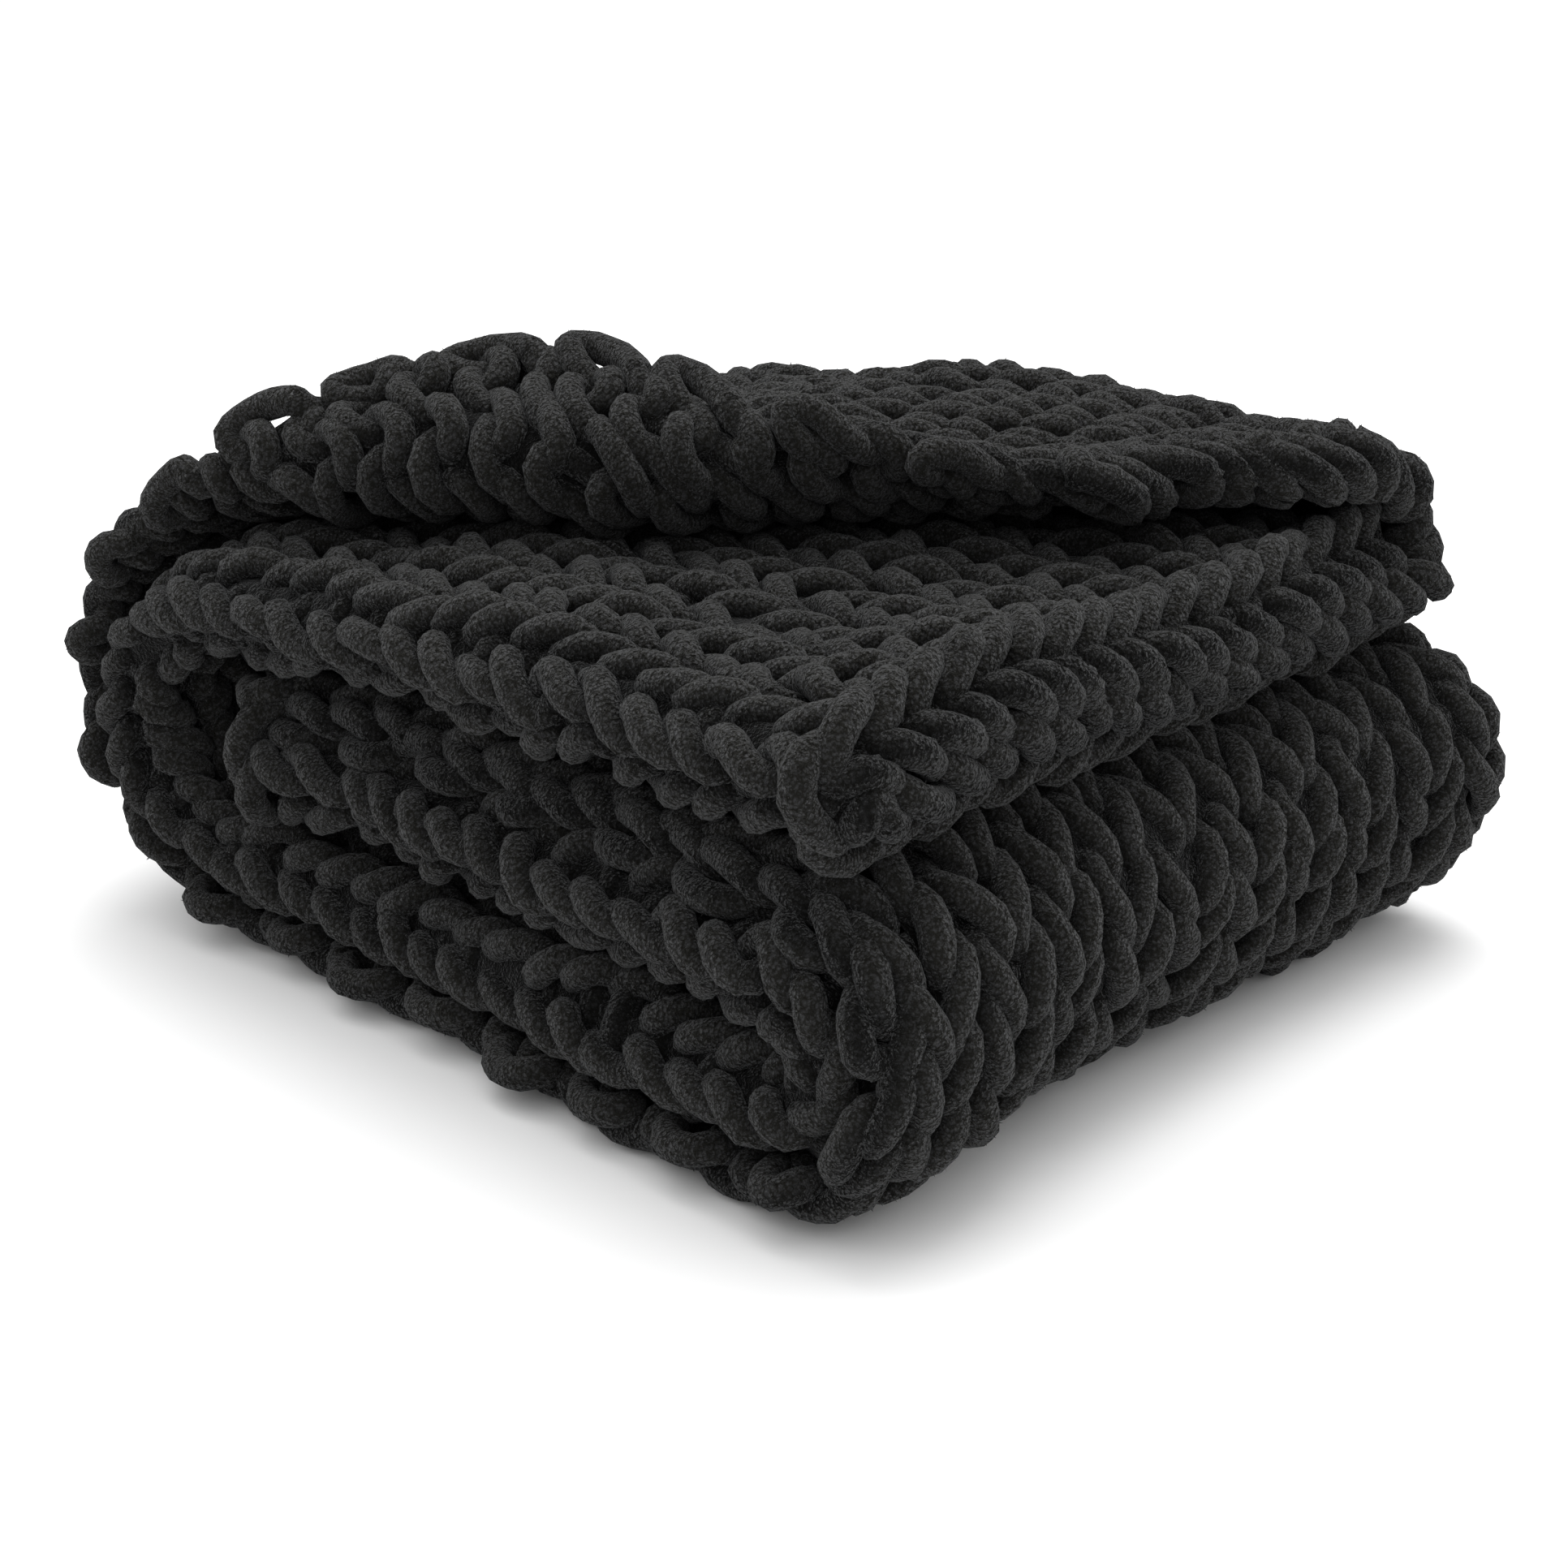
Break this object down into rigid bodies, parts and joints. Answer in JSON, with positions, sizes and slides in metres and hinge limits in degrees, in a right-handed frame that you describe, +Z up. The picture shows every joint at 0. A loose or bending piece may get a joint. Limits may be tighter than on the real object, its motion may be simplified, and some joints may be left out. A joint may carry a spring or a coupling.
{
  "type": "throw blanket",
  "caption": "Chunky knitted throw folded in three each way into a squat stack, with one margin of its top sheet turned up.",
  "frame": {"origin": "middle of the bounding box's bottom face, on the surface the throw lies on", "axes": "+X towards the rounded near fold, along the longest side; +Z up; -Y towards the side where the folded edges show"},
  "size_m": [0.5572, 0.4652, 0.2845],
  "materials": {
    "chenille": "soft matt pile, near black, brushed slightly lighter where it stands proud"
  },
  "bodies": {
    "root": {"throw": "chenille"}
  },
  "joints": []
}
